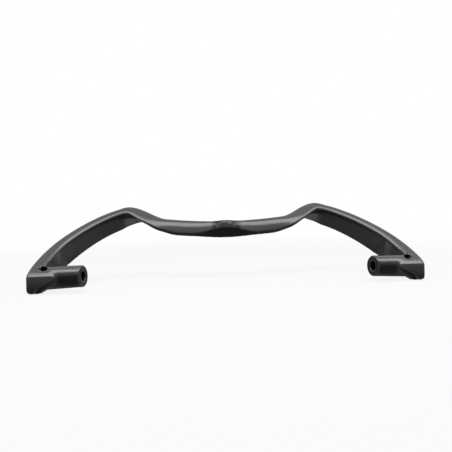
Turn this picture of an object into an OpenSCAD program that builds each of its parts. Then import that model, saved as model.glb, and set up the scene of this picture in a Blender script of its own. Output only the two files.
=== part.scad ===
// Motorcycle grab rail: one aluminium casting, a channel open underneath.
// The rail is drawn flat in its own plane (x across, y rearward, z up), and
// that plane is then pitched up towards the rear. The bosses and the end
// blocks stand plumb. The origin is midway between the two boss faces that
// seat on the frame.

/* [Rail plan] */
// Distance from the centre line to the outside of an arm's tip
tip_x = 177.5; // [173:0.1:184]
// Front end of the arms, forward of the boss faces where negative
tip_y = -4.2; // [-6:0.1:-3]
// Outer edge of the bar at the centre line
bar_y = 72.1; // [66:0.1:76]
// Distance from the centre line to the end of the bar
bar_half = 60; // [54:0.5:64]
// How far the ends of the bar lie behind its middle
bar_bow = 6.2; // [3:0.1:9]
// Distance from the centre line to the crest of a shoulder
shoulder_x = 99; // [95:0.5:104]
// Outer edge of the crest
shoulder_y = 102.2; // [98:0.1:106]
// Angle at which an arm leaves its shoulder
arm_angle = 32; // [27:0.5:37]

/* [Rail height] */
// Pitch of the rail's plane, rising towards the rear
rail_pitch = 32; // [26:0.5:38]
// Height of the rail's plane above the middle of the boss faces
rail_z = 5.4; // [4.5:0.1:6.5]

/* [Section] */
// Width of the top of the bar
bar_w = 15; // [13:0.1:17]
// Fall of the top of the bar from its back edge to its lip
bar_fall = 6; // [4.5:0.1:7]
// Height of the lip along the front of the bar
bar_lip = 5.2; // [4.2:0.1:6.5]
// Depth of the wall behind the bar
bar_skirt = 13.5; // [12:0.1:16]
// Width of the flange on the ramp between the bar and a shoulder
ramp_w = 13.2; // [11.5:0.1:14.5]
// Depth of the wall on that ramp
ramp_skirt = 12.5; // [11:0.1:14]
// Height of the lip on that ramp
ramp_lip = 3.9; // [3:0.1:5]
// Width of the flange at a shoulder
shoulder_w = 10.6; // [9.5:0.1:12.5]
// Depth of the wall at a shoulder
shoulder_skirt = 21.4; // [19:0.1:24]
// Width of the flange along an arm
arm_w = 7.6; // [7:0.1:9]
// Depth of the wall where an arm leaves its shoulder
arm_skirt = 25; // [23:0.1:27]
// Depth of the wall at the foot of an arm
foot_skirt = 30.3; // [28:0.1:32]
// Thickness of the wall
wall_t = 4.8; // [4.2:0.1:5.5]
// Thickness of the flange
flange_t = 3.6; // [3:0.1:4.5]

/* [Centre of the bar] */
// Half length of the facet in the front of the bar
brow_half = 31; // [26:0.5:36]
// Width left on top of the bar above the facet
brow_w = 8.8; // [7.8:0.1:10]
// Height of the hump above the facet
hump_h = 1.1; // [0.6:0.1:1.8]
// Half length of the hump
hump_half = 13; // [10:0.5:16]

/* [Bosses] */
// Distance between the two boss faces
boss_span = 260; // [254:0.5:266]
// Diameter of a boss at its face
boss_d = 19.2; // [17:0.1:21]
// Draft of a boss, as an angle on each side
boss_draft = 1.4; // [0.5:0.1:2.5]
// Bolt bore, with clearance for M8
bore_d = 9; // [8.4:0.1:10]
// Spot face for the bolt's head, in the outside of an end block
seat_d = 17; // [15:0.1:19]
// Length of the bore, from the boss face to the spot face
grip = 41.5; // [40.5:0.1:42]
// Angle by which a boss face turns forwards
boss_sweep = 12; // [8:0.5:15]
// Angle by which a boss face turns upwards
boss_tilt = 3; // [0:0.5:6]

/* [End blocks] */
// Width of an end block across the rail
block_w = 25; // [23:0.1:27]
// Length of an end block's top along the rail, behind its bevel
block_len = 9.8; // [9:0.1:11]
// Depth of an end block's underside below the middle of the boss faces
block_floor = 13.6; // [13:0.1:15.5]
// Width of the bevel along an end block's front edge
bevel_run = 5.5; // [4:0.1:6.5]
// Fall of that bevel
bevel_fall = 0.9; // [0.4:0.1:1.6]
// Radius of an end block's outer front corner
corner_r = 2.8; // [1.5:0.1:3.5]
// Thickness of the lip that an end block's front carries over the boss
lip_t = 3.6; // [2.5:0.1:4.5]
// Depth of the scoop in the wall behind an end block
scoop_depth = 2.4; // [1.6:0.1:2.8]
// Length of the scoop along the arm
scoop_len = 30; // [26:0.5:33]
// Diameter of the blind hole in an end block's top
pin_d = 5.4; // [4.5:0.1:6.2]
// Length of that hole along the rail
pin_len = 7.6; // [6.5:0.1:8.5]
// Depth of that hole
pin_depth = 5; // [3.5:0.1:5.2]

/* [Hidden] */

// Blends between values, corners or whole sections
function mix(a, b, k) = a + (b - a) * k;
function share(from, to, v) = min(1, max(0, (v - from) / (to - from)));
function ease(from, to, v) = let (k = share(from, to, v)) k * k * (3 - 2 * k);
function bump(half, v) = abs(v) < half ? (1 + cos(180 * v / half)) / 2 : 0;
function unit(v) = v / norm(v);
function quarter(k) = sqrt(1 - (1 - k) * (1 - k));

// Plan of the outer edge, right half, as a chain of cubic curves
bar_end = [bar_half, bar_y + bar_bow];
bar_end_dir = unit([bar_half, 2 * bar_bow]);
ramp_lead = 10;
crest = [shoulder_x, shoulder_y];
crest_lead = 14;
arm_top_run = 14;
arm_top_drop = 6.3;
arm_top = crest + [arm_top_run, -arm_top_drop];
arm_top_lead = 5;
arm_dir = [cos(arm_angle), -sin(arm_angle)];
arm_lead = 39;
tip = [tip_x, tip_y];
tip_lead = 33;
PLAN = [
    [[0, bar_y], [bar_half / 3, bar_y], bar_end - bar_end_dir * bar_half / 3, bar_end],
    [bar_end, bar_end + bar_end_dir * ramp_lead, crest - [crest_lead, 0], crest],
    [crest, crest + [arm_top_lead, 0], arm_top - arm_dir * arm_top_lead, arm_top],
    [arm_top, arm_top + arm_dir * arm_lead, tip + [0, tip_lead], tip],
];
// Steps along each curve, and how much they crowd towards its end
STEPS = [18, 14, 6, 44];
CROWD = [1, 1, 1, 1.5];

function cubic(c, t) = let (s = 1 - t)
    c[0] * s * s * s + c[1] * 3 * s * s * t + c[2] * 3 * s * t * t + c[3] * t * t * t;
function cubic_dir(c, t) = let (s = 1 - t)
    unit((c[1] - c[0]) * s * s + (c[2] - c[1]) * 2 * s * t + (c[3] - c[2]) * t * t);

// Half of the path from the centre to the right tip, as [point, direction]
half_path = [
    for (k = [0 : len(PLAN) - 1])
        for (i = [(k == 0 ? 0 : 1) : STEPS[k]])
            let (t = 1 - pow(1 - i / STEPS[k], CROWD[k]))
                [cubic(PLAN[k], t), cubic_dir(PLAN[k], t)]
];
last = len(half_path) - 1;
path = [
    for (i = [last : -1 : 1])
        let (p = half_path[i]) [[-p[0].x, p[0].y], [p[1].x, -p[1].y]],
    for (i = [0 : last]) half_path[i],
];

// Where the rail's zones lie: x counts along the bar, y along the arms
bar_blend = 14;
brow_fullness = 0.75;
shoulder_run = 18;
crest_run = 5;
foot_run = 10;
scoop_run = 11;
scoop_fade = 4;
block_fade = 1.5;
plumb_run = 2;
block_y = tip_y + bevel_run + block_len;
scoop_y = block_y + scoop_len;
foot_y = scoop_y + foot_run;
lip_y = tip_y + lip_t;
function on_arm(p) = p.x > shoulder_x;
function at_bar(p) = 1 - ease(bar_half - bar_blend, bar_half + bar_blend, p.x);
function at_brow(p) = pow(bump(brow_half, p.x), brow_fullness);
function at_shoulder(p) = ease(bar_half + shoulder_run, crest.x, p.x);
function at_arm_top(p) = ease(crest.x - crest_run, arm_top.x, p.x);
function at_foot(p) = on_arm(p) ? 1 - share(foot_y, arm_top.y, p.y) : 0;
function at_root(p) = on_arm(p) ? 1 - ease(block_y, foot_y, p.y) : 0;
function at_scoop(p) = on_arm(p)
    ? quarter(share(scoop_y, scoop_y - scoop_run, p.y))
        * ease(block_y + scoop_fade, scoop_y - scoop_run, p.y)
    : 0;
function at_block(p) = on_arm(p) ? 1 - ease(block_y - block_fade, block_y + block_fade, p.y) : 0;
function at_lip(p) = on_arm(p) ? 1 - ease(lip_y, lip_y + block_fade, p.y) : 0;
function at_bevel(p) = on_arm(p) ? share(tip_y + bevel_run, tip_y, p.y) : 0;
function at_corner(p) = on_arm(p) ? 1 - quarter(1 - share(tip_y + corner_r, tip_y, p.y)) : 0;

// A section has eight corners: u runs inwards from the outer edge and v up
// from the rail's plane. Its top is flat for a stretch, then rolls over to
// the rim in two slopes.
roll_at = 0.5;
roll_share = 0.35;
draft = 0.7;
function top_corners(w, run, fall) = [
    [0, 0],
    [w - run, 0],
    [w - run * roll_at, -fall * roll_share],
    [w, -fall],
];
function section(w, run, fall, lip, under, web, wall, skirt) = concat(top_corners(w, run, fall), [
    [w - under, -fall - lip],
    [wall, -web],
    [wall - draft, -skirt],
    [draft, -skirt],
]);
edge_fall = 1.3;
edge_run = 3.2;
crest_roll = 4.5;
rim_under = 0.5;
rim_lip = flange_t - 1;
function flange_section(w, run, skirt) =
    section(w, run, edge_fall, rim_lip, rim_under, flange_t, wall_t, skirt);

bar_flat = 5;
bar_under = 1.5;
bar_web = flange_t + 1.5;
bar_section = section(bar_w, bar_w - bar_flat, bar_fall, bar_lip, bar_under, bar_web, wall_t, bar_skirt);
brow_flat = 2.5;
brow_fall = 2.6;
brow_foot = 5.7;
brow_lip = bar_fall + bar_lip - brow_fall + brow_foot;
brow_under = 0.2;
brow_web = bar_skirt - 0.5;
brow_section = section(
    brow_w, brow_w - brow_flat, brow_fall, brow_lip, brow_under, brow_web, wall_t, bar_skirt
);
ramp_run = 7;
ramp_fall = 2;
ramp_section = section(ramp_w, ramp_run, ramp_fall, ramp_lip, rim_under, flange_t, wall_t, ramp_skirt);
shoulder_section = flange_section(shoulder_w, crest_roll, shoulder_skirt);
arm_section = flange_section(arm_w, edge_run, arm_skirt);
foot_spread = 0.8;
foot_section = flange_section(arm_w + foot_spread, edge_run, foot_skirt);

// The block's underside is level, so its depth grows with its top's height
function top_height(y) = y * sin(rail_pitch) + rail_z * cos(rail_pitch);
root_w = 11;
root_section = flange_section(root_w, edge_run, top_height(block_y) + block_floor);
knee = boss_d / 2 - 1;
block_draft = 0.5;
foot_flare = 0.3;
function end_section(y, side, heel, foot) =
    let (t = top_height(y))
    concat(top_corners(block_w, edge_run, edge_fall), [
        [block_w - block_draft, -t - side],
        [heel, -t - knee],
        [foot, -t - block_floor],
        [-foot_flare, -t - block_floor],
    ]);
block_side = 4;
block_heel = 0.66 * block_w;
block_foot = 0.36 * block_w;
function block_section(y) = end_section(y, block_side, block_heel, block_foot);
// The lip's lower edge climbs from the foot to the middle of the boss
lip_side = 0.5;
lip_heel = 0.4 * block_w;
lip_foot = 0.28 * block_w;
function lip_section(y) = end_section(y, lip_side, lip_heel, lip_foot);

// Changes that a zone makes to the corners
still = [0, 0];
up = [0, 1];
hump_lift = [up, up, up / 2, still, still, still, still, still] * hump_h;
scoop_in = [-scoop_depth, 0];
scoop_cut = [still, still, still, still, still, scoop_in, scoop_in, still];
bevel_cut = [up, up, up, up, still, still, still, still] * -bevel_fall;
corner_lift = [0, corner_r / 2];
corner_in = [corner_r, 0];
corner_cut = [corner_in, still, still, still, still, still, corner_lift, corner_in + corner_lift];

function corners(p) =
    let (
        shoulder = mix(mix(ramp_section, shoulder_section, at_shoulder(p)), arm_section, at_arm_top(p)),
        bar = mix(mix(shoulder, bar_section, at_bar(p)), brow_section, at_brow(p)),
        arm = mix(mix(bar, foot_section, at_foot(p)), root_section, at_root(p)),
        shaped = arm + hump_lift * bump(hump_half, p.x) + scoop_cut * at_scoop(p),
        end = mix(block_section(p.y), lip_section(p.y), at_lip(p))
    )
    mix(shaped, end, at_block(p)) + bevel_cut * at_bevel(p) + corner_cut * at_corner(p);

// Each corner's rounding, and the number of points on it
edge_r = 1.6;
end_edge_r = 2.7;
roll_r = 4;
bar_roll_r = 12;
rim_r = 1;
web_r = 2.5;
wall_r = 0.6;
skirt_r = 0.8;
heel_r = 6;
foot_r = 4;
flare_r = 5;
function radii(p) = [
    mix(edge_r, end_edge_r, at_root(p)),
    mix(roll_r, bar_roll_r, at_bar(p)),
    mix(roll_r, bar_roll_r, at_bar(p)),
    rim_r,
    rim_r,
    mix(web_r, heel_r, at_block(p)),
    mix(wall_r, foot_r, at_block(p)),
    mix(skirt_r, flare_r, at_block(p)),
];
COUNTS = [4, 3, 3, 3, 3, 4, 3, 3];

// A corner's rounding takes less than half of the side on each hand
side_share = 0.45;
straight = 0.9999;
function round_corner(a, b, c, r, n) =
    let (
        to_a = unit(a - b),
        to_c = unit(c - b),
        half_angle = acos(max(-straight, min(straight, to_a * to_c))) / 2,
        cut = min(r / tan(half_angle), side_share * norm(a - b), side_share * norm(c - b))
    )
    [for (i = [0 : n - 1])
        let (t = i / (n - 1), s = 1 - t)
            (b + to_a * cut) * s * s + b * 2 * s * t + (b + to_c * cut) * t * t];
function rounded(pts, r, counts) =
    let (n = len(pts))
    [for (i = [0 : n - 1])
        each round_corner(pts[(i + n - 1) % n], pts[i], pts[(i + 1) % n], r[i], counts[i])];

// A section hangs square to the rail's plane, and turns plumb at the block
function hang(p) =
    let (a = rail_pitch * (on_arm(p) ? 1 - ease(block_y + plumb_run, foot_y, p.y) : 0))
    [0, sin(a), cos(a)];
function ring(at, dir) =
    let (p = [abs(at.x), at.y], inward = [dir.y, -dir.x, 0], down = hang(p))
    [for (c = rounded(corners(p), radii(p), COUNTS)) [at.x, at.y, rail_z] + inward * c.x + down * c.y];
function middle_of(pts) = [for (k = [0 : 2]) [for (p = pts) p[k]] * [for (p = pts) 1] / len(pts)];

// Closed skin through a row of rings
module skin(rings) {
    m = len(rings);
    n = len(rings[0]);
    points = concat([for (r = rings) each r], [middle_of(rings[0]), middle_of(rings[m - 1])]);
    sides = [
        for (i = [0 : m - 2])
            for (j = [0 : n - 1])
                let (a = i * n + j, b = i * n + (j + 1) % n)
                    each [[a, a + n, b], [b, a + n, b + n]]
    ];
    first_cap = [for (j = [0 : n - 1]) [m * n, j, (j + 1) % n]];
    last_cap = [for (j = [0 : n - 1]) [m * n + 1, (m - 1) * n + (j + 1) % n, (m - 1) * n + j]];
    polyhedron(points, concat(sides, first_cap, last_cap), convexity = 8);
}

module in_rail_plane() {
    rotate([rail_pitch, 0, 0]) children();
}

// Places the right boss: z runs outwards from the middle of its face
module at_boss() {
    translate([boss_span / 2, 0, 0])
        rotate([0, boss_tilt, boss_sweep])
            rotate([0, 90, 0])
                children();
}

module both_sides() {
    for (side = [0, 1])
        mirror([side, 0, 0]) children();
}

// The boss runs past the spot face, and stops inside the block and the wall
boss_past = 1.5;
boss_len = grip + boss_past;
boss_rim = 0.6;
module boss() {
    r = boss_d / 2;
    far_r = r + boss_len * tan(boss_draft);
    rotate_extrude($fn = 72)
        polygon([[0, 0], [r - boss_rim, 0], [r, boss_rim], [far_r, boss_len], [0, boss_len]]);
}

module bolt_bore() {
    past = 20;
    translate([0, 0, -past]) cylinder(d = bore_d, h = grip + 2 * past, $fn = 72);
    translate([0, 0, grip]) cylinder(d = seat_d, h = past, $fn = 72);
}

// The blind hole is a slot that leans outwards, with a shallow point beside it
pin_in = 13.3;
pin_back = 10.3;
pin_lean = 17;
pin_tail = 2;
pin_point = 1;
tail_root = 0.9 * pin_d;
tail_depth = 1.6;
module pin_hole() {
    clear = 2;
    half = (pin_len - pin_d) / 2;
    translate([tip_x - pin_in, tip_y + pin_back, rail_z]) {
        translate([0, 0, -pin_depth])
            linear_extrude(pin_depth + clear)
                rotate(-pin_lean)
                    hull()
                        for (side = [-1, 1])
                            translate([0, side * half]) circle(d = pin_d, $fn = 48);
        translate([0, 0, -tail_depth])
            linear_extrude(tail_depth + clear)
                hull() {
                    circle(d = tail_root, $fn = 48);
                    translate([pin_d / 2 + pin_tail, 0]) circle(d = pin_point, $fn = 16);
                }
    }
}

module grab_rail() {
    color([0.11, 0.11, 0.12])
        difference() {
            union() {
                in_rail_plane() skin([for (p = path) ring(p[0], p[1])]);
                both_sides() at_boss() boss();
            }
            both_sides() at_boss() bolt_bore();
            both_sides() in_rail_plane() pin_hole();
        }
}

grab_rail();
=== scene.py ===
"""Looks of a cast grab rail in satin black paint, laid out as an add-on and run as a script."""
import math

import bmesh
import bpy
from mathutils import Euler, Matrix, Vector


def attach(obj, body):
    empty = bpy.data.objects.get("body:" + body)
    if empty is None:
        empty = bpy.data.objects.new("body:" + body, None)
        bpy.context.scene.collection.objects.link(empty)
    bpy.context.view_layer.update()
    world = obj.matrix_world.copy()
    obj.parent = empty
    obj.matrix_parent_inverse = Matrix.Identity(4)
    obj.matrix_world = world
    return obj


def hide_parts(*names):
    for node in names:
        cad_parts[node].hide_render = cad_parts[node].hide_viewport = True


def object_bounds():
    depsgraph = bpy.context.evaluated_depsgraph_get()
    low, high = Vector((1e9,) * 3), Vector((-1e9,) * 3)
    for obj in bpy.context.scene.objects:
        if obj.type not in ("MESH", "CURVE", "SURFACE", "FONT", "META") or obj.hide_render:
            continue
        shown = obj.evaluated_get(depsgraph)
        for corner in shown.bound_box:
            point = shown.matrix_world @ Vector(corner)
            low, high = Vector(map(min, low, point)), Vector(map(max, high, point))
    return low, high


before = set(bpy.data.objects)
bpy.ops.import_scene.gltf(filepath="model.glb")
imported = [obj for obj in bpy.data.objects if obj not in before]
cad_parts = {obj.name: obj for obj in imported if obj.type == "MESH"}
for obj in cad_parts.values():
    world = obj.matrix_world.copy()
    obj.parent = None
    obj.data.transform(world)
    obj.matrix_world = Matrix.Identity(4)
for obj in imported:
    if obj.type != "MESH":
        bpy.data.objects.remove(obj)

bl_info = {
    "name": "Cast grab rail",
    "version": (1, 0, 0),
    "blender": (4, 5, 0),
    "location": "View3D > Sidebar > Grab rail",
    "description": "Dresses the packed grab rail as a painted casting on a studio floor",
    "category": "Object",
}

# The CAD model's own box, before anything is added or hidden
CAD_LOW, CAD_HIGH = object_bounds()
RAIL_NODE = "grab_rail"

# Numbers that the skin keeps for each of its points and the paint reads
EDGE_ATTRIBUTE = "edge"
UPWARD_SHEEN_ATTRIBUTE = "sheen_painted_by_facing"
PAINTED_SHADOW_ATTRIBUTE = "painted_shadow"

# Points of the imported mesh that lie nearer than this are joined, in metres
JOIN_DISTANCE = 1e-6
# Softening of the marks along the rim, and their strength
LIP_BLUR = 9
LIP_GAIN = 4.0
# Softening of the lip's own shape, and smoothing of the shoulders' inner corners
LIP_SPREAD = 24
CORNER_PASSES = 60
# Hold of an edge on its place, and how much of that is eased along the lip
EDGE_HOLD = 2.5
LIP_EASE = 0.5
# Parts of a normal along the flange's own, and heights in metres, between which the lip comes in
LIP_ROLL = (0.05, 0.3)
LIP_LEVEL = (0.009, 0.012)
# Softening of the border of the top coat laid by facing, a painted sheen on top and painted shade below
UPWARD_SHEEN_BLUR = 3
# Start of the ray test for the painted shadow above the skin, in metres, and the softening of its result
SHADOW_RAY_CLEARANCE = 0.0003
SHADOW_RAY_BLUR = 3
# Straight up, straight across the rail, and the shares that make a direction level
UPWARD = (0.0, 0.0, 1.0)
ACROSS = (1.0, 0.0, 0.0)
LEVEL = (1.0, 1.0, 0.0)
# Inputs of the skin's node tree, by kind and unit
SKIN_INPUTS = (
    ("NodeSocketGeometry", None, ("Geometry",)),
    ("NodeSocketInt", None, ("Fillet passes", "Facet passes", "Edge passes")),
    ("NodeSocketFloat", None, ("Upward sheen starts", "Upward sheen is full", "Upward sheen lift")),
    ("NodeSocketFloat", "ANGLE", ("Shadow ray rise",)),
    ("NodeSocketFloat", "DISTANCE", ("Edge rise", "Lift starts", "Lift is full", "Shadow ray reach")),
    ("NodeSocketFloat", "DISTANCE", ("Lip", "Corner lip", "Corner place", "Corner reach")),
    ("NodeSocketFloat", "DISTANCE", ("Lip starts", "Lip is full", "Lip fades", "Lip ends")),
    ("NodeSocketFloat", "DISTANCE", ("Foot starts", "Foot is full")),
    ("NodeSocketVector", None, ("Rail normal",)),
    ("NodeSocketMaterial", None, ("Paint",)),
)

# Middle value of a noise, and its usual roughness
NOISE_MIDDLE = 0.5
NOISE_ROUGHNESS = 0.5
# Detail of the casting's grain and of the paint's ripple
GRAIN_DETAIL = 2.0
RIPPLE_DETAIL = 1.0
# Size in metres, detail and effect on the roughness of the paint's patches
PATCH_SIZE = 0.03
PATCH_DETAIL = 3.0
PATCH_ROUGHNESS = 0.14
# Size in metres, detail and roughness of the pattern in which the paint wears
WEAR_SIZE = 0.006
WEAR_DETAIL = 4.0
WEAR_ROUGHNESS = 0.6
# Share of the grain in the relief, and its effect on the roughness
GRAIN_RELIEF = 0.6
GRAIN_ROUGHNESS = 0.1
# Edge from which hands rub, how fast that comes in, and how wear breaks it up
RUB_START = 0.35
RUB_GAIN = 1.6
RUB_BREAKUP = 0.8
# Share of the rubbed colour on a rubbed edge, and how much smoother that edge is
RUB_COLOUR = 0.7
RUB_POLISH = 0.07
# Hollow from which the paint darkens, grime and painted shade together, how fast that comes in, and how
# patches break it up
DARK_HOLLOW_START = 0.15
DARK_HOLLOW_GAIN = 2.0
DARK_HOLLOW_BREAKUP = 0.6
# Darkness of the painted shadow under overhanging metal, and how much rougher the darkened places make
# the paint
PAINTED_SHADOW_SHARE = 0.9
DARKENING_ROUGHNESS = 0.1
# Shares of the paint's colour and of the top coat in its dark and its light patches
MOTTLE_DARK = 0.85
MOTTLE_LIGHT = 1.15
# Value of the patches at which the paint is dark, and how fast it turns light from there
MOTTLE_START = 0.35
MOTTLE_GAIN = 2.0
# How fast the matt place comes in from its border, its mean loss, and how wear breaks it up
BARE_GAIN = 2.0
BARE_LOSS = 0.75
BARE_BREAKUP = 2.6

# Place of the colour among a Mix node's outputs
COLOUR_RESULT = 2
WHITE = (1.0, 1.0, 1.0, 1.0)
# Width of the photo in pixels and of the camera's sensor in millimetres
PHOTO_PIXELS = 452
SENSOR_WIDTH = 36.0
# Nearest and furthest things that the camera sees, in metres
CAMERA_CLIP = (0.01, 100.0)


class Value:
    """A number's socket in a node tree. Arithmetic on it adds Math nodes."""

    def __init__(self, tree, socket):
        self.tree = tree
        self.socket = socket

    def math(self, operation, first, second=0.0):
        node = self.tree.nodes.new("ShaderNodeMath")
        node.operation = operation
        for slot, value in zip(node.inputs, (first, second)):
            if isinstance(value, Value):
                self.tree.links.new(value.socket, slot)
            else:
                slot.default_value = value
        return Value(self.tree, node.outputs[0])

    def __add__(self, other):
        return self.math("ADD", self, other)

    def __radd__(self, other):
        return self.math("ADD", other, self)

    def __sub__(self, other):
        return self.math("SUBTRACT", self, other)

    def __rsub__(self, other):
        return self.math("SUBTRACT", other, self)

    def __mul__(self, other):
        return self.math("MULTIPLY", self, other)

    def __rmul__(self, other):
        return self.math("MULTIPLY", other, self)

    def __truediv__(self, other):
        return self.math("DIVIDE", self, other)

    def __rtruediv__(self, other):
        return self.math("DIVIDE", other, self)

    def __neg__(self):
        return self.math("MULTIPLY", self, -1.0)

    def __abs__(self):
        return self.math("ABSOLUTE", self)

    def at_least(self, other):
        return self.math("MAXIMUM", self, other)

    def at_most(self, other):
        return self.math("MINIMUM", self, other)

    def kept_to_one(self):
        return self.at_least(0.0).at_most(1.0)

    def above(self, other):
        return self.math("GREATER_THAN", self, other)

    def sine(self):
        return self.math("SINE", self)

    def cosine(self):
        return self.math("COSINE", self)


def ramp(value, start, full):
    """0 up to the start and 1 from the full value on."""
    return ((value - start) / (full - start)).kept_to_one()


class Nodes:
    """A node tree that is filled node by node."""

    def __init__(self, tree):
        self.tree = tree
        self.tree.nodes.clear()

    def add(self, kind, settings=None, sockets=None, out=0):
        """Adds one node and returns its chosen output."""
        node = self.tree.nodes.new(kind)
        for name, value in (settings or {}).items():
            setattr(node, name, value)
        for name, value in (sockets or {}).items():
            slot = self.slot(node, name)
            if isinstance(value, Value):
                self.tree.links.new(value.socket, slot)
            else:
                slot.default_value = value
        return Value(self.tree, node.outputs[out]) if len(node.outputs) else None

    @staticmethod
    def slot(node, name):
        """An input of a node by its place, its identifier or its name."""
        if isinstance(name, int):
            return node.inputs[name]
        for slot in node.inputs:
            if slot.identifier == name:
                return slot
        return node.inputs[name]

    def attribute(self, name):
        """A number that a mesh keeps for each of its points, read by a material."""
        return self.add("ShaderNodeAttribute", {"attribute_name": name}, out="Fac")

    def vector(self, operation, first, second=None, scale=None, out="Vector"):
        """One step of vector arithmetic."""
        sockets = {0: first}
        if second is not None:
            sockets[1] = second
        if scale is not None:
            sockets["Scale"] = scale
        return self.add("ShaderNodeVectorMath", {"operation": operation}, sockets, out)

    def dot(self, first, second):
        """How far one vector reaches along another."""
        return self.vector("DOT_PRODUCT", first, second, out="Value")

    def outputs(self, kind, sockets=None):
        """Adds one node and returns all of its outputs by their names."""
        node = self.add(kind, None, sockets).socket.node
        return {slot.name: Value(self.tree, slot) for slot in node.outputs if slot.name}

    def split(self, vector):
        """The three parts of a vector, as values."""
        return list(self.outputs("ShaderNodeSeparateXYZ", {0: vector}).values())

    def mix_colour(self, factor, first, second):
        """The first colour where the factor is 0 and the second where it is 1."""
        return self.add(
            "ShaderNodeMix",
            {"data_type": "RGBA"},
            {"Factor_Float": factor, "A_Color": first, "B_Color": second},
            COLOUR_RESULT,
        )


class CastingSettings(bpy.types.PropertyGroup):
    """How the casting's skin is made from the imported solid."""

    grain: bpy.props.FloatProperty(
        name="Skin grain",
        description="Spacing of the points on the casting's skin",
        default=0.0005,
        min=0.0003,
        max=0.003,
        precision=5,
        unit="LENGTH",
    )
    kept_share: bpy.props.FloatProperty(
        name="Kept share",
        description="Share of the skin's triangles that is left when it has been thinned",
        default=0.44,
        min=0.05,
        max=1.0,
        subtype="FACTOR",
    )
    fillet_passes: bpy.props.IntProperty(
        name="Fillet passes",
        description="How often the skin is softened, which rounds its edges",
        default=4,
        min=0,
        max=12,
    )
    facet_passes: bpy.props.IntProperty(
        name="Facet passes",
        description="How often the open faces between the edges are smoothed",
        default=32,
        min=0,
        max=60,
    )
    edge_passes: bpy.props.IntProperty(
        name="Edge passes",
        description="Reach of the band beside an edge that counts as edge",
        default=9,
        min=1,
        max=20,
    )
    edge_rise: bpy.props.FloatProperty(
        name="Edge rise",
        description="How far a full edge stands out of the softened skin",
        default=0.00022,
        min=0.00005,
        max=0.002,
        precision=5,
        unit="LENGTH",
    )
    rail_slope: bpy.props.FloatProperty(
        name="Rail slope",
        description="Slope of the flange, from the level, towards the seat",
        default=math.radians(32.0),
        min=0.0,
        max=math.radians(90.0),
        subtype="ANGLE",
    )
    lip: bpy.props.FloatProperty(
        name="Lip",
        description="How far the flange is rolled out over the arms' inner walls, before softening",
        default=0.0019,
        min=0.0,
        max=0.004,
        precision=5,
        unit="LENGTH",
    )
    corner_lip: bpy.props.FloatProperty(
        name="Corner lip",
        description="How much further it is rolled out in the bend of each shoulder, before softening",
        default=0.0036,
        min=0.0,
        max=0.004,
        precision=5,
        unit="LENGTH",
    )
    corner: bpy.props.FloatVectorProperty(
        name="Corner",
        description="Distance of a shoulder's bend from the middle, and its half length",
        default=(0.099, 0.018),
        size=2,
        precision=4,
        unit="LENGTH",
    )
    lip_start: bpy.props.FloatVectorProperty(
        name="Lip start",
        description="Distances from the middle between which the lip comes in",
        default=(0.074, 0.09),
        size=2,
        precision=4,
        unit="LENGTH",
    )
    foot: bpy.props.FloatVectorProperty(
        name="Foot",
        description="Distances from the middle between which the lip's roll grows softer",
        default=(0.115, 0.15),
        size=2,
        precision=4,
        unit="LENGTH",
    )
    lip_end: bpy.props.FloatVectorProperty(
        name="Lip end",
        description="Distances from the middle between which the lip runs out",
        default=(0.162, 0.168),
        size=2,
        precision=4,
        unit="LENGTH",
    )
    # The top coat laid by facing is a painted sheen on upward faces and painted shade on the undersides,
    # which lose it.
    upward_sheen_low: bpy.props.FloatProperty(
        name="Upward sheen starts",
        description="Upward part of a face's normal at which the top coat starts to reach it",
        default=0.17,
        min=-1.0,
        max=1.0,
    )
    upward_sheen_high: bpy.props.FloatProperty(
        name="Upward sheen is full",
        description="Upward part of a face's normal at which the top coat covers it",
        default=0.64,
        min=-1.0,
        max=1.0,
    )
    upward_sheen_lift: bpy.props.FloatProperty(
        name="Upward sheen lift",
        description="How much further down a slope the top coat reaches on the raised rail",
        default=0.25,
        min=0.0,
        max=1.0,
    )
    upward_sheen_level: bpy.props.FloatVectorProperty(
        name="Upward sheen level",
        description="Heights between which that further reach comes in",
        default=(0.012, 0.03),
        size=2,
        precision=4,
        unit="LENGTH",
    )
    # These set the ray test that marks a painted shadow on faces under overhanging metal.
    shadow_ray_rise: bpy.props.FloatProperty(
        name="Shadow ray rise",
        description="Slope, looking out from a face, at which metal above it shelters it",
        default=math.radians(38.0),
        min=0.0,
        max=math.radians(90.0),
        subtype="ANGLE",
    )
    shadow_ray_reach: bpy.props.FloatProperty(
        name="Shadow ray reach",
        description="How near the metal that shelters a face has to be",
        default=0.009,
        min=0.001,
        precision=4,
        unit="LENGTH",
    )


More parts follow.
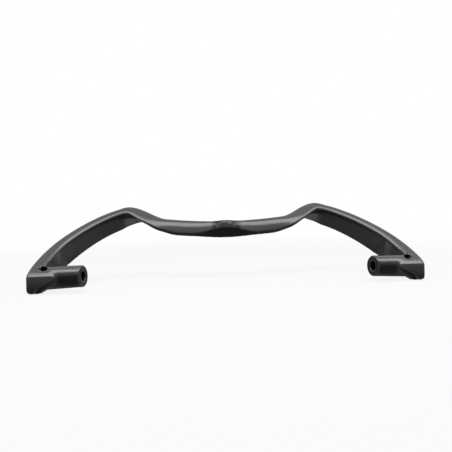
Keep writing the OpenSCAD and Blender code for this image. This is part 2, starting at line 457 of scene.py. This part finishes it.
class PaintSettings(bpy.types.PropertyGroup):
    """Colours and texture of the paint."""

    colour: bpy.props.FloatVectorProperty(
        name="Paint",
        description="Colour of the satin black paint",
        default=(0.016, 0.016, 0.0182),
        min=0.0,
        max=1.0,
        subtype="COLOR",
    )
    rubbed: bpy.props.FloatVectorProperty(
        name="Rubbed edges",
        description="Colour of the paint where hands have rubbed its edges",
        default=(0.034, 0.034, 0.036),
        min=0.0,
        max=1.0,
        subtype="COLOR",
    )
    # Colour of the darkening in hollows, grime and painted shade together, and of the painted shadow
    # under overhanging metal.
    grime_and_shade: bpy.props.FloatVectorProperty(
        name="Grime and painted shade",
        description="Colour of the grime in the hollows",
        default=(0.007, 0.007, 0.0075),
        min=0.0,
        max=1.0,
        subtype="COLOR",
    )
    roughness: bpy.props.FloatProperty(
        name="Roughness",
        description="Roughness of the paint below the top coat",
        default=0.46,
        min=0.0,
        max=1.0,
        subtype="FACTOR",
    )
    gloss: bpy.props.FloatProperty(
        name="Gloss",
        description="Strength of the reflection of the paint below the top coat",
        default=0.07,
        min=0.0,
        max=1.0,
        subtype="FACTOR",
    )
    # Where the top coat is laid by facing, its weight is a painted sheen on top and painted shade below.
    top_coat: bpy.props.FloatProperty(
        name="Top coat",
        description="Weight of the satin top coat where it was sprayed in full",
        default=1.0,
        min=0.0,
        max=1.0,
        subtype="FACTOR",
    )
    top_coat_roughness: bpy.props.FloatProperty(
        name="Top coat roughness",
        description="Roughness of the satin top coat",
        default=0.22,
        min=0.0,
        max=1.0,
        subtype="FACTOR",
    )
    top_coat_index: bpy.props.FloatProperty(
        name="Top coat index",
        description="Refractive index of the satin top coat",
        default=1.6,
        min=1.3,
        max=2.0,
    )
    # These lay extra top coat as a painted sheen on raised faces and on forward faces of the blocks,
    # scoops and ramp bends.
    front_sheen: bpy.props.FloatProperty(
        name="Painted front sheen",
        description="Weight of the top coat that drifts onto the walls of the raised rail",
        default=0.27,
        min=0.0,
        max=1.0,
        subtype="FACTOR",
    )
    front_sheen_level: bpy.props.FloatVectorProperty(
        name="Painted front sheen level",
        description="Heights between which the overspray comes in",
        default=(0.004, 0.016),
        size=2,
        precision=4,
        unit="LENGTH",
    )
    block_sheen_level: bpy.props.FloatVectorProperty(
        name="Painted sheen level on the blocks",
        description="Heights between which the overspray comes in on the end blocks",
        default=(-0.012, 0.004),
        size=2,
        precision=4,
        unit="LENGTH",
    )
    block_sheen_reach: bpy.props.FloatVectorProperty(
        name="Painted sheen reach on the blocks",
        description="Distances from the middle between which the overspray of the end blocks comes in",
        default=(0.15, 0.158),
        size=2,
        precision=4,
        unit="LENGTH",
    )
    block_sheen: bpy.props.FloatProperty(
        name="Block painted sheen",
        description="How much more overspray the forward faces of the blocks have caught",
        default=1.7,
        min=0.0,
        max=8.0,
    )
    scoop_sheen: bpy.props.FloatProperty(
        name="Scoop painted sheen",
        description="How much more overspray the forward faces of the scoops have caught",
        default=3.4,
        min=0.0,
        max=8.0,
    )
    scoop_facing: bpy.props.FloatVectorProperty(
        name="Scoop facing",
        description="Forward parts of a face's normal between which that comes in",
        default=(0.42, 0.62),
        size=2,
    )
    front_sheen_start: bpy.props.FloatVectorProperty(
        name="Painted front sheen start",
        description="Distances from the middle between which the overspray comes in beside the bar",
        default=(0.076, 0.087),
        size=2,
        precision=4,
        unit="LENGTH",
    )
    corner_sheen: bpy.props.FloatProperty(
        name="Corner painted sheen",
        description="How much more overspray the forward faces beside the ramps have caught",
        default=6.0,
        min=0.0,
        max=8.0,
    )
    corner_facing: bpy.props.FloatVectorProperty(
        name="Corner facing",
        description="Forward parts of a face's normal between which that comes in",
        default=(0.7, 0.87),
        size=2,
    )
    bare_place: bpy.props.FloatVectorProperty(
        name="Bare place",
        description="Middle of the matt place on the bar, across and along the motorcycle",
        default=(0.0, 0.05),
        size=2,
        precision=4,
        unit="LENGTH",
    )
    bare_reach: bpy.props.FloatVectorProperty(
        name="Bare place's reach",
        description="Half length and half width of the matt place on the bar",
        default=(0.017, 0.014),
        size=2,
        precision=4,
        unit="LENGTH",
    )
    bare_facing: bpy.props.FloatVectorProperty(
        name="Bare place's facing",
        description="Forward parts of a face's normal between which the matt place comes in",
        default=(-0.3, 0.1),
        size=2,
    )
    bareness: bpy.props.FloatProperty(
        name="Bareness",
        description="Share of the top coat that the matt place has lost",
        default=0.95,
        min=0.0,
        max=1.0,
        subtype="FACTOR",
    )
    rubbed_gloss: bpy.props.FloatProperty(
        name="Rubbed gloss",
        description="Weight of the gloss that rubbing has left along the edges",
        default=0.35,
        min=0.0,
        max=1.0,
        subtype="FACTOR",
    )
    grain_size: bpy.props.FloatProperty(
        name="Cast grain",
        description="Size of the grain that the mould leaves in the metal",
        default=0.0011,
        min=0.0002,
        max=0.01,
        precision=5,
        unit="LENGTH",
    )
    peel_size: bpy.props.FloatProperty(
        name="Paint ripple",
        description="Size of the soft ripple in the sprayed paint",
        default=0.0042,
        min=0.0005,
        max=0.02,
        precision=5,
        unit="LENGTH",
    )
    relief: bpy.props.FloatProperty(
        name="Relief",
        description="Height of the grain and the ripple together",
        default=0.00005,
        min=0.0,
        max=0.001,
        precision=6,
        unit="LENGTH",
    )


class StageSettings(bpy.types.PropertyGroup):
    """Floor, surround, softbox and camera."""

    floor: bpy.props.FloatVectorProperty(
        name="Floor",
        description="Colour of the studio floor",
        default=(0.68, 0.68, 0.68),
        min=0.0,
        max=1.0,
        subtype="COLOR",
    )
    floor_bounce: bpy.props.FloatVectorProperty(
        name="Floor bounce",
        description="Colour in which the floor throws light back on the rail",
        default=(0.2, 0.2, 0.2),
        min=0.0,
        max=1.0,
        subtype="COLOR",
    )
    floor_size: bpy.props.FloatProperty(
        name="Floor size",
        description="Side of the square floor",
        default=12.0,
        min=1.0,
        unit="LENGTH",
    )
    floor_glow: bpy.props.FloatProperty(
        name="Floor glow",
        description="Share of plain white in the floor as it is seen",
        default=0.88,
        min=0.0,
        max=1.0,
        subtype="FACTOR",
    )
    shadow_reach: bpy.props.FloatProperty(
        name="Shadow reach",
        description="Distance from the rail over which the floor keeps its shadow",
        default=0.3,
        min=0.05,
        unit="LENGTH",
    )
    surround: bpy.props.FloatProperty(
        name="Surround",
        description="Light that the white surround throws on the rail",
        default=0.12,
        min=0.0,
        max=1.0,
        subtype="FACTOR",
    )
    key_size: bpy.props.FloatVectorProperty(
        name="Key softbox size",
        description="Length and width of the softbox over the rail",
        default=(1.7, 0.36),
        size=2,
        min=0.02,
        unit="LENGTH",
    )
    key_power: bpy.props.FloatProperty(
        name="Key softbox power",
        description="Power of the softbox over the rail",
        default=8.2,
        min=0.0,
        subtype="POWER",
    )
    key_back: bpy.props.FloatProperty(
        name="Key softbox place",
        description="How far behind the boss faces the softbox hangs, or before them if negative",
        default=-0.13,
        unit="LENGTH",
    )
    softbox_height: bpy.props.FloatProperty(
        name="Softbox height",
        description="Height of the softbox above the rail",
        default=0.6,
        min=0.2,
        unit="LENGTH",
    )
    camera_place: bpy.props.FloatVectorProperty(
        name="Camera place",
        description="Where the camera stands, on the seat's side of the rail",
        default=(-0.038697, -0.416442, 0.064533),
        subtype="TRANSLATION",
        precision=5,
    )
    camera_turn: bpy.props.FloatVectorProperty(
        name="Camera turn",
        description="How the camera is turned",
        default=tuple(math.radians(a) for a in (86.6891, 1.2945, -4.8059)),
        subtype="EULER",
        precision=4,
    )
    focal_pixels: bpy.props.FloatProperty(
        name="Focal length in pixels",
        description="The camera's focal length, measured in pixels of the photo",
        default=470.0,
        min=50.0,
    )


class GrabRailSettings(bpy.types.PropertyGroup):
    """All that a user may change."""

    casting: bpy.props.PointerProperty(type=CastingSettings)
    paint: bpy.props.PointerProperty(type=PaintSettings)
    stage: bpy.props.PointerProperty(type=StageSettings)


def with_alpha(colour):
    """A colour that is solid."""
    return (colour[0], colour[1], colour[2], 1.0)


class PaintNodes(Nodes):
    """The nodes of the satin black paint."""

    def __init__(self, tree, settings):
        super().__init__(tree)
        self.settings = settings
        self.place = self.add("ShaderNodeTexCoord", out="Object")
        self.across, self.along, self.up = self.split(self.place)
        self.facing = -self.split(self.add("ShaderNodeNewGeometry", out="Normal"))[1]
        self.grain = self.noise(settings.grain_size, GRAIN_DETAIL)
        self.ripple = self.noise(settings.peel_size, RIPPLE_DETAIL)
        self.patches = self.noise(PATCH_SIZE, PATCH_DETAIL)
        self.wear = self.noise(WEAR_SIZE, WEAR_DETAIL, WEAR_ROUGHNESS)
        edge = self.attribute(EDGE_ATTRIBUTE)
        broken = (self.wear - NOISE_MIDDLE) * RUB_BREAKUP
        self.rubbed = ((edge - RUB_START) * RUB_GAIN + broken).kept_to_one()
        # Darker in hollows, grime and painted shade together, and in places with metal close above, as a
        # painted shadow; the top coat is stripped there too.
        patchy = (self.patches - NOISE_MIDDLE) * DARK_HOLLOW_BREAKUP
        hollow = (-edge - DARK_HOLLOW_START) * DARK_HOLLOW_GAIN + patchy
        # Painted shadow: darker where metal lies close above.
        painted_shadow = self.attribute(PAINTED_SHADOW_ATTRIBUTE) * PAINTED_SHADOW_SHARE
        self.grime_and_painted_shade = hollow.at_least(painted_shadow).kept_to_one()

    def noise(self, size, detail, roughness=NOISE_ROUGHNESS):
        """A cloudy pattern that is fixed to the piece."""
        return self.add(
            "ShaderNodeTexNoise",
            {"noise_dimensions": "3D"},
            {"Vector": self.place, "Scale": 1.0 / size, "Detail": detail, "Roughness": roughness},
            "Fac",
        )

    def colour(self):
        """Mottled black, darker in its hollows with grime and painted shade, darker under overhanging
        metal as a painted shadow, and paler where it is rubbed.
        """
        settings = self.settings
        dark, light = (
            with_alpha([share * part for part in settings.colour])
            for share in (MOTTLE_DARK, MOTTLE_LIGHT)
        )
        mottled = self.mix_colour((self.patches - MOTTLE_START) * MOTTLE_GAIN, dark, light)
        grimed = self.mix_colour(self.grime_and_painted_shade, mottled, with_alpha(settings.grime_and_shade))
        return self.mix_colour(self.rubbed * RUB_COLOUR, grimed, with_alpha(settings.rubbed))

    def roughness(self):
        """Uneven with patches and grain, polished by rubbing and dulled where hollows and painted shadows
        are darkened.
        """
        patchy = (self.patches - NOISE_MIDDLE) * PATCH_ROUGHNESS
        grainy = (self.grain - NOISE_MIDDLE) * GRAIN_ROUGHNESS
        rough = self.settings.roughness + patchy + grainy
        return (rough - self.rubbed * RUB_POLISH + self.grime_and_painted_shade * DARKENING_ROUGHNESS).kept_to_one()

    def painted_front_sheen(self):
        """Painted sheen: extra top coat on the raised walls and the blocks, more on forward faces of the
        scoops and the ramp bends.
        """
        settings = self.settings
        raised = ramp(self.up, *settings.front_sheen_level)
        outer = ramp(abs(self.across), *settings.block_sheen_reach)
        block_raised = ramp(self.up, *settings.block_sheen_level) * outer
        gathered = settings.block_sheen + raised * (settings.scoop_sheen - settings.block_sheen)
        scooped = ramp(self.facing, *settings.scoop_facing) * outer * gathered
        cornered = ramp(self.facing, *settings.corner_facing) * (1.0 - outer) * settings.corner_sheen
        off_bar = ramp(abs(self.across), *settings.front_sheen_start)
        return raised.at_least(block_raised) * off_bar * settings.front_sheen * (1.0 + scooped + cornered)

    def covered(self):
        """1 where the top coat is whole, and less in the matt place on the bar."""
        settings = self.settings
        off_x = (self.across - settings.bare_place[0]) / settings.bare_reach[0]
        off_y = (self.along - settings.bare_place[1]) / settings.bare_reach[1]
        inside = ((1.0 - off_x * off_x - off_y * off_y) * BARE_GAIN).kept_to_one()
        inside = inside * ramp(self.facing, *settings.bare_facing)
        lost = inside * (BARE_LOSS + (self.wear - NOISE_MIDDLE) * BARE_BREAKUP)
        return 1.0 - lost.kept_to_one() * settings.bareness

    def top_coat(self):
        """Weight of the satin top coat, laid by facing as a painted sheen on top and painted shade below,
        with the painted front sheen and the rubbed gloss, less in the matt place and where hollows and
        painted shadows are darkened.
        """
        settings = self.settings
        # Top coat by facing: painted sheen on upward faces, painted shade below.
        sheen_painted_by_facing = self.attribute(UPWARD_SHEEN_ATTRIBUTE)
        laid = sheen_painted_by_facing.at_least(self.painted_front_sheen()).at_least(self.rubbed * settings.rubbed_gloss)
        mottle = MOTTLE_DARK + self.patches * (MOTTLE_LIGHT - MOTTLE_DARK)
        whole = laid * self.covered() * (1.0 - self.grime_and_painted_shade) * mottle * settings.top_coat
        return whole.kept_to_one()

    def relief(self):
        """The normal, stirred by the casting's grain and the paint's ripple."""
        return self.add(
            "ShaderNodeBump",
            None,
            {
                "Strength": 1.0,
                "Distance": self.settings.relief,
                "Height": self.grain * GRAIN_RELIEF + self.ripple,
            },
            "Normal",
        )


def make_paint(settings):
    """Satin black paint over a cast surface, rubbed on its edges, darkened in its hollows with grime and
    painted shade, with painted shadows under overhangs and a top coat laid by facing as painted sheen.
    """
    material = bpy.data.materials.new("satin_black_paint")
    material.use_nodes = True
    nodes = PaintNodes(material.node_tree, settings)
    shader = nodes.add(
        "ShaderNodeBsdfPrincipled",
        None,
        {
            "Base Color": nodes.colour(),
            "Roughness": nodes.roughness(),
            "Specular IOR Level": settings.gloss,
            "Coat Weight": nodes.top_coat(),
            "Coat Roughness": settings.top_coat_roughness,
            "Coat IOR": settings.top_coat_index,
            "Normal": nodes.relief(),
        },
        "BSDF",
    )
    nodes.add("ShaderNodeOutputMaterial", None, {"Surface": shader})
    return material


class SkinNodes(Nodes):
    """The nodes of the casting's skin."""

    def __init__(self, tree):
        super().__init__(tree)
        self.given = self.outputs("NodeGroupInput")
        self.place = self.add("GeometryNodeInputPosition")
        self.normal = self.add("GeometryNodeInputNormal", out="Normal")
        self.edge = self.add(
            "GeometryNodeInputNamedAttribute",
            {"data_type": "FLOAT"},
            {"Name": EDGE_ATTRIBUTE},
            "Attribute",
        )

    def softened(self, value, passes, kind="FLOAT", weight=1.0):
        """A number or a vector that is blurred over the skin."""
        return self.add(
            "GeometryNodeBlurAttribute",
            {"data_type": kind},
            {"Value": value, "Iterations": passes, "Weight": weight},
        )

    def blurred(self, passes, weight=1.0):
        """The place of each point, blurred over the skin."""
        return self.softened(self.place, passes, "FLOAT_VECTOR", weight)

    def moved(self, geometry, socket, value):
        """The skin with its points set to a new position or moved by an offset."""
        return self.add("GeometryNodeSetPosition", None, {"Geometry": geometry, socket: value})

    def stored(self, geometry, name, value):
        """The skin with a number kept for each of its points."""
        return self.add(
            "GeometryNodeStoreNamedAttribute",
            {"data_type": "FLOAT", "domain": "POINT"},
            {"Geometry": geometry, "Name": name, "Value": value},
        )

    def mark_edges(self, geometry):
        """Keeps how far each point stands out of the softened skin, as a share of a full edge."""
        lifted = self.vector("SUBTRACT", self.place, self.blurred(self.given["Edge passes"]))
        share = self.dot(lifted, self.normal) / self.given["Edge rise"]
        return self.stored(geometry, EDGE_ATTRIBUTE, share.at_least(-1.0).at_most(1.0))

    def roll_lip(self, geometry):
        """Rolls the flange's lip out over the inner walls, and smooths the faces between the edges."""
        given = self.given
        across, _, up = self.split(self.place)
        from_middle = abs(across)
        flange_normal = given["Rail normal"]
        off_plane = self.dot(self.normal, flange_normal)
        lifted = self.vector("SCALE", flange_normal, scale=off_plane)
        in_plane = self.vector("SUBTRACT", self.normal, lifted)
        forward = self.vector("CROSS_PRODUCT", ACROSS, flange_normal)
        beside_rim = self.softened(self.edge.at_least(0.0), LIP_BLUR)
        on_lip = self.softened(
            (beside_rim * LIP_GAIN).kept_to_one()
            * self.dot(in_plane, forward).above(0.0)
            * ramp(off_plane, *LIP_ROLL)
            * ramp(up, *LIP_LEVEL)
            * ramp(from_middle, given["Lip starts"], given["Lip is full"])
            * ramp(from_middle, given["Lip ends"], given["Lip fades"]),
            LIP_BLUR,
        )
        off_corner = abs(from_middle - given["Corner place"]) / given["Corner reach"]
        in_corner = (1.0 - off_corner).kept_to_one()
        push = self.vector(
            "ADD",
            self.vector("SCALE", in_plane, scale=given["Lip"] * on_lip),
            self.vector("SCALE", forward, scale=given["Corner lip"] * in_corner * on_lip),
        )
        lipped = self.moved(geometry, "Offset", self.softened(push, LIP_SPREAD, "FLOAT_VECTOR"))
        at_foot = ramp(from_middle, given["Foot starts"], given["Foot is full"])
        eased = on_lip * (LIP_EASE + at_foot.at_least(in_corner) * (1.0 - LIP_EASE))
        open_face = (1.0 - abs(self.edge) * EDGE_HOLD * (1.0 - eased)).kept_to_one()
        smoothed = self.moved(lipped, "Position", self.blurred(given["Facet passes"], open_face))
        corner_share = (on_lip * LIP_GAIN).kept_to_one() * in_corner * in_corner
        corner_weight = self.softened(corner_share, LIP_BLUR)
        return self.moved(smoothed, "Position", self.blurred(CORNER_PASSES, corner_weight))

    def mark_upward_sheen(self, geometry):
        """Keeps a top coat weight that grows with how far each point's normal points up, reaching further
        down on the raised rail: painted sheen on top, painted shade below.
        """
        given = self.given
        raised = ramp(self.split(self.place)[2], given["Lift starts"], given["Lift is full"])
        upward = self.split(self.normal)[2] + raised * given["Upward sheen lift"]
        reached = ramp(upward, given["Upward sheen starts"], given["Upward sheen is full"])
        return self.stored(geometry, UPWARD_SHEEN_ATTRIBUTE, self.softened(reached, UPWARD_SHEEN_BLUR))

    def mark_painted_shadow(self, geometry):
        """Keeps which points have metal close above them, for a painted shadow there."""
        clear = self.vector("ADD", self.place, self.vector("SCALE", self.normal, scale=SHADOW_RAY_CLEARANCE))
        outward = self.vector("NORMALIZE", self.vector("MULTIPLY", self.normal, LEVEL))
        rise = self.given["Shadow ray rise"]
        skyward = self.vector(
            "ADD",
            self.vector("SCALE", outward, scale=rise.cosine()),
            self.vector("SCALE", UPWARD, scale=rise.sine()),
        )
        hidden = self.add(
            "GeometryNodeRaycast",
            None,
            {
                "Target Geometry": geometry,
                "Source Position": clear,
                "Ray Direction": skyward,
                "Ray Length": self.given["Shadow ray reach"],
            },
            "Is Hit",
        )
        return self.stored(geometry, PAINTED_SHADOW_ATTRIBUTE, self.softened(hidden, SHADOW_RAY_BLUR))


def make_skin_tree():
    """Tree that rounds a casting's edges, rolls its lip and marks its points for the paint."""
    tree = bpy.data.node_groups.new("casting_skin", "GeometryNodeTree")
    tree.is_modifier = True
    for kind, unit, names in SKIN_INPUTS:
        for name in names:
            socket = tree.interface.new_socket(name, in_out="INPUT", socket_type=kind)
            if unit:
                socket.subtype = unit
    tree.interface.new_socket("Geometry", in_out="OUTPUT", socket_type="NodeSocketGeometry")
    nodes = SkinNodes(tree)
    given = nodes.given
    skin = nodes.moved(given["Geometry"], "Position", nodes.blurred(given["Fillet passes"]))
    skin = nodes.mark_edges(skin)
    skin = nodes.roll_lip(skin)
    skin = nodes.mark_upward_sheen(skin)
    skin = nodes.mark_painted_shadow(skin)
    skin = nodes.add("GeometryNodeSetShadeSmooth", None, {"Geometry": skin, "Shade Smooth": True})
    skin = nodes.add("GeometryNodeRealizeInstances", None, {"Geometry": skin})
    skin = nodes.add("GeometryNodeSetMaterial", None, {"Geometry": skin, "Material": given["Paint"]})
    nodes.add("NodeGroupOutput", None, {"Geometry": skin})
    return tree


def add_tree(piece, name, tree, values):
    """Adds a Geometry Nodes modifier and sets its inputs by their identifiers."""
    modifier = piece.modifiers.new(name, "NODES")
    modifier.node_group = tree
    identifiers = {
        item.name: item.identifier
        for item in tree.interface.items_tree
        if item.item_type == "SOCKET" and item.in_out == "INPUT"
    }
    for key, value in values.items():
        modifier[identifiers[key]] = value


def merged_copy(node, name):
    """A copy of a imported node's mesh with its loose triangles joined."""
    work = bmesh.new()
    work.from_mesh(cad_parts[node].data)
    bmesh.ops.remove_doubles(work, verts=work.verts, dist=JOIN_DISTANCE)
    mesh = bpy.data.meshes.new(name)
    work.to_mesh(mesh)
    work.free()
    piece = bpy.data.objects.new(name, mesh)
    bpy.context.scene.collection.objects.link(piece)
    return piece


def made_plain(piece):
    """Turns a piece and its modifiers into a plain mesh."""
    depsgraph = bpy.context.evaluated_depsgraph_get()
    mesh = bpy.data.meshes.new_from_object(piece.evaluated_get(depsgraph), depsgraph=depsgraph)
    piece.modifiers.clear()
    old = piece.data
    piece.data = mesh
    mesh.name = piece.name
    bpy.data.meshes.remove(old)


def discard(piece):
    """Takes a helper piece and its mesh out of the scene."""
    mesh = piece.data
    bpy.data.objects.remove(piece)
    bpy.data.meshes.remove(mesh)


class GRABRAIL_OT_casting(bpy.types.Operator):
    """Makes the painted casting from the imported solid"""

    bl_idname = "grab_rail.casting"
    bl_label = "Make casting"
    bl_options = {"REGISTER", "UNDO"}

    def execute(self, context):
        settings = context.scene.grab_rail
        casting = settings.casting
        piece = merged_copy(RAIL_NODE, "rail_casting")
        remesh = piece.modifiers.new("skin", "REMESH")
        remesh.mode = "VOXEL"
        remesh.voxel_size = casting.grain
        remesh.use_smooth_shade = True
        form = merged_copy(RAIL_NODE, "rail_form")
        wrap = piece.modifiers.new("form", "SHRINKWRAP")
        wrap.target = form
        wrap.wrap_method = "NEAREST_SURFACEPOINT"
        paint = make_paint(settings.paint)
        add_tree(
            piece,
            "casting_skin",
            make_skin_tree(),
            {
                "Fillet passes": casting.fillet_passes,
                "Facet passes": casting.facet_passes,
                "Edge passes": casting.edge_passes,
                "Edge rise": casting.edge_rise,
                "Upward sheen starts": casting.upward_sheen_low,
                "Upward sheen is full": casting.upward_sheen_high,
                "Upward sheen lift": casting.upward_sheen_lift,
                "Lift starts": casting.upward_sheen_level[0],
                "Lift is full": casting.upward_sheen_level[1],
                "Shadow ray rise": casting.shadow_ray_rise,
                "Rail normal": (0.0, -math.sin(casting.rail_slope), math.cos(casting.rail_slope)),
                "Lip": casting.lip,
                "Corner lip": casting.corner_lip,
                "Corner place": casting.corner[0],
                "Corner reach": casting.corner[1],
                "Lip starts": casting.lip_start[0],
                "Lip is full": casting.lip_start[1],
                "Foot starts": casting.foot[0],
                "Foot is full": casting.foot[1],
                "Lip fades": casting.lip_end[0],
                "Lip ends": casting.lip_end[1],
                "Shadow ray reach": casting.shadow_ray_reach,
                "Paint": paint,
            },
        )
        thinned = piece.modifiers.new("thinned", "DECIMATE")
        thinned.ratio = casting.kept_share
        made_plain(piece)
        discard(form)
        if not piece.data.polygons:
            raise RuntimeError("the casting's skin came out empty")
        for name in (EDGE_ATTRIBUTE, UPWARD_SHEEN_ATTRIBUTE, PAINTED_SHADOW_ATTRIBUTE):
            if name not in piece.data.attributes:
                raise RuntimeError("the casting's skin lacks its attribute " + name)
        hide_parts(RAIL_NODE)
        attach(piece, "root")
        return {"FINISHED"}


def seen_rays(nodes):
    """1 for rays from the camera and for rays that a surface has mirrored or bent."""
    path = nodes.outputs("ShaderNodeLightPath")
    mirrored_or_bent = path["Is Glossy Ray"] + path["Is Transmission Ray"]
    return (path["Is Camera Ray"] + mirrored_or_bent).at_most(1.0)


def make_floor_paint(settings):
    """Pale paint that reads as white, with the rail's soft shadow left in it."""
    material = bpy.data.materials.new("studio_floor")
    material.use_nodes = True
    nodes = Nodes(material.node_tree)
    seen = seen_rays(nodes)
    dim = nodes.add("ShaderNodeBsdfDiffuse", None, {"Color": with_alpha(settings.floor_bounce)})
    pale = nodes.add("ShaderNodeBsdfDiffuse", None, {"Color": with_alpha(settings.floor)})
    matt = nodes.add("ShaderNodeMixShader", None, {0: seen, 1: dim, 2: pale})
    white = nodes.add("ShaderNodeEmission", None, {"Color": WHITE, "Strength": 1.0})
    place = nodes.add("ShaderNodeTexCoord", out="Object")
    away = nodes.vector("LENGTH", place, out="Value")
    far = ramp(away, settings.shadow_reach, 2 * settings.shadow_reach)
    glow = settings.floor_glow + far * (1.0 - settings.floor_glow)
    mixed = nodes.add("ShaderNodeMixShader", None, {0: seen * glow, 1: matt, 2: white})
    nodes.add("ShaderNodeOutputMaterial", None, {"Surface": mixed})
    return material


def make_floor(settings):
    """Plain square floor at the foot of the rail."""
    half = settings.floor_size / 2
    level = CAD_LOW[2]
    corners = [(-half, -half, level), (half, -half, level), (half, half, level), (-half, half, level)]
    mesh = bpy.data.meshes.new("studio_floor")
    mesh.from_pydata(corners, [], [(0, 1, 2, 3)])
    mesh.materials.append(make_floor_paint(settings))
    floor = bpy.data.objects.new("studio_floor", mesh)
    bpy.context.scene.collection.objects.link(floor)
    return floor


def make_world(settings):
    """White surround that throws only a little light on the rail."""
    world = bpy.data.worlds.new("white_surround")
    world.use_nodes = True
    nodes = Nodes(world.node_tree)
    strength = settings.surround + seen_rays(nodes) * (1.0 - settings.surround)
    light = nodes.add("ShaderNodeBackground", None, {"Color": WHITE, "Strength": strength})
    nodes.add("ShaderNodeOutputWorld", None, {"Surface": light})
    bpy.context.scene.world = world


def make_softbox(settings):
    """The softbox that hangs level over the rail."""
    lamp = bpy.data.lights.new("key_softbox", "AREA")
    lamp.shape = "RECTANGLE"
    lamp.size, lamp.size_y = settings.key_size
    lamp.energy = settings.key_power
    box = bpy.data.objects.new("key_softbox", lamp)
    box.location = (0.0, settings.key_back, CAD_HIGH[2] + settings.softbox_height)
    bpy.context.scene.collection.objects.link(box)


def make_camera(settings):
    """The camera of the photo."""
    camera = bpy.data.cameras.new("camera")
    camera.sensor_fit = "HORIZONTAL"
    camera.sensor_width = SENSOR_WIDTH
    camera.lens = settings.focal_pixels / PHOTO_PIXELS * SENSOR_WIDTH
    camera.clip_start, camera.clip_end = CAMERA_CLIP
    holder = bpy.data.objects.new("camera", camera)
    holder.location = settings.camera_place
    holder.rotation_euler = Euler(settings.camera_turn, "XYZ")
    bpy.context.scene.collection.objects.link(holder)
    bpy.context.scene.camera = holder


class GRABRAIL_OT_stage(bpy.types.Operator):
    """Makes the floor, the surround, the softbox and the camera"""

    bl_idname = "grab_rail.stage"
    bl_label = "Make stage"
    bl_options = {"REGISTER", "UNDO"}

    def execute(self, context):
        settings = context.scene.grab_rail.stage
        make_floor(settings)
        make_world(settings)
        make_softbox(settings)
        make_camera(settings)
        context.scene.view_settings.view_transform = "Standard"
        if context.scene.camera is None:
            raise RuntimeError("the stage has no camera")
        return {"FINISHED"}


class GRABRAIL_PT_sidebar(bpy.types.Panel):
    """Lists the rail's settings and its operators"""

    bl_idname = "GRABRAIL_PT_sidebar"
    bl_label = "Grab rail"
    bl_space_type = "VIEW_3D"
    bl_region_type = "UI"
    bl_category = "Grab rail"

    def draw(self, context):
        settings = context.scene.grab_rail
        for title, group, operator in (
            ("Casting", settings.casting, None),
            ("Paint", settings.paint, GRABRAIL_OT_casting.bl_idname),
            ("Stage", settings.stage, GRABRAIL_OT_stage.bl_idname),
        ):
            box = self.layout.box()
            box.label(text=title)
            for name in group.bl_rna.properties.keys():
                if name not in ("rna_type", "name"):
                    box.prop(group, name)
            if operator:
                box.operator(operator)


CLASSES = (
    CastingSettings,
    PaintSettings,
    StageSettings,
    GrabRailSettings,
    GRABRAIL_OT_casting,
    GRABRAIL_OT_stage,
    GRABRAIL_PT_sidebar,
)


def register():
    for item in CLASSES:
        bpy.utils.register_class(item)
    bpy.types.Scene.grab_rail = bpy.props.PointerProperty(type=GrabRailSettings)


def unregister():
    del bpy.types.Scene.grab_rail
    for item in reversed(CLASSES):
        bpy.utils.unregister_class(item)


def main():
    register()
    bpy.ops.grab_rail.casting()
    bpy.ops.grab_rail.stage()


if __name__ == "__main__":
    main()
